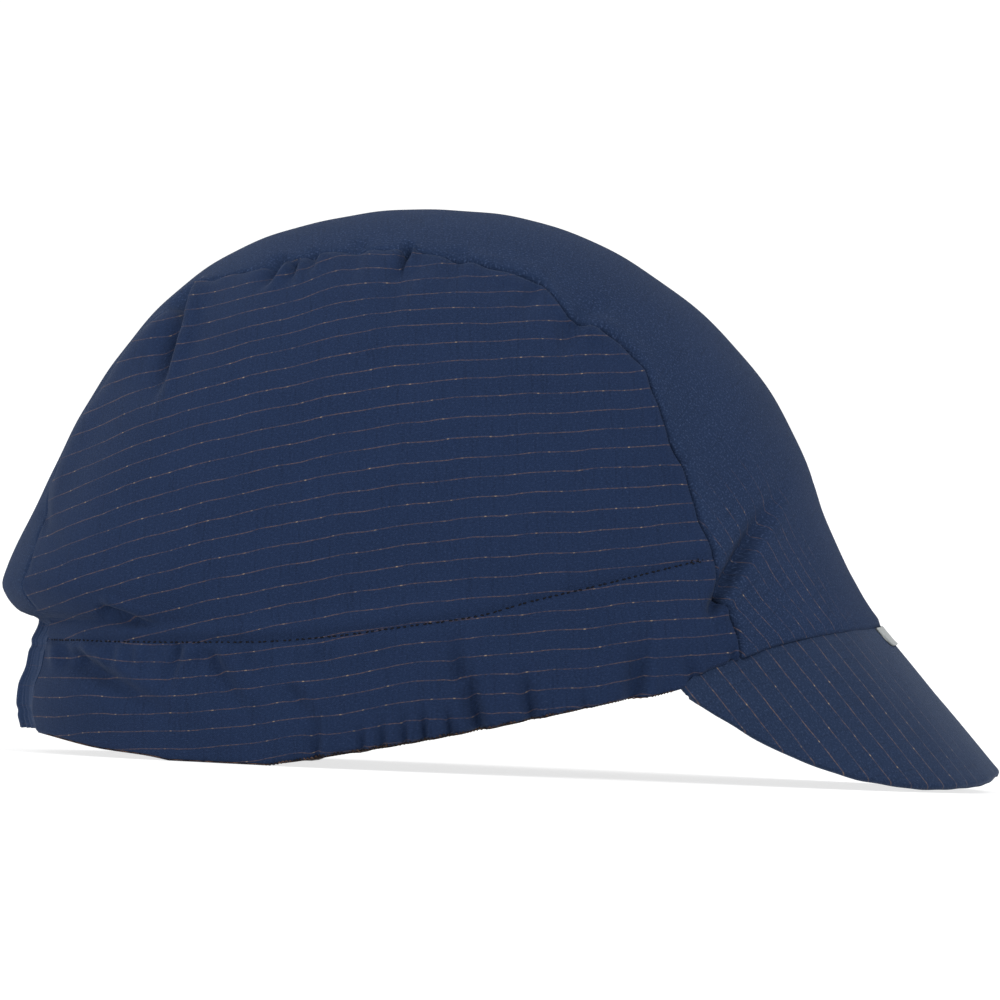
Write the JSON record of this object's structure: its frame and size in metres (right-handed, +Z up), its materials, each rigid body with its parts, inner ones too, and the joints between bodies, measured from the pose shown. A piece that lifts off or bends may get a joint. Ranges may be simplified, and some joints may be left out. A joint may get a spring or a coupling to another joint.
{
  "type": "cycling cap",
  "caption": "Soft cloth cycling cap with a rounded panelled crown, short down-turned peak, gathered elastic casing at the back, dark sweatband and small tab at the peak's root.",
  "frame": {"origin": "middle of the bounding box, on the level that the rim and the edge of the peak stand on", "axes": "+X forward, out of the peak; +Y to the wearer's left; +Z up"},
  "size_m": [0.2506, 0.16, 0.1397],
  "materials": {
    "navy_cloth": "matt woven cotton with fine ripstop lines",
    "peak_cloth": "the same cloth drawn tight over a stiff core",
    "dark_band": "matt knitted",
    "grey_tab": "satin woven, slightly reflective"
  },
  "bodies": {
    "root": {"centre_panel": "navy_cloth", "side_panel_right": "navy_cloth", "side_panel_left": "navy_cloth", "elastic_casing": "navy_cloth", "sweatband": "dark_band", "peak": "peak_cloth", "front_tab": "grey_tab"}
  },
  "joints": []
}
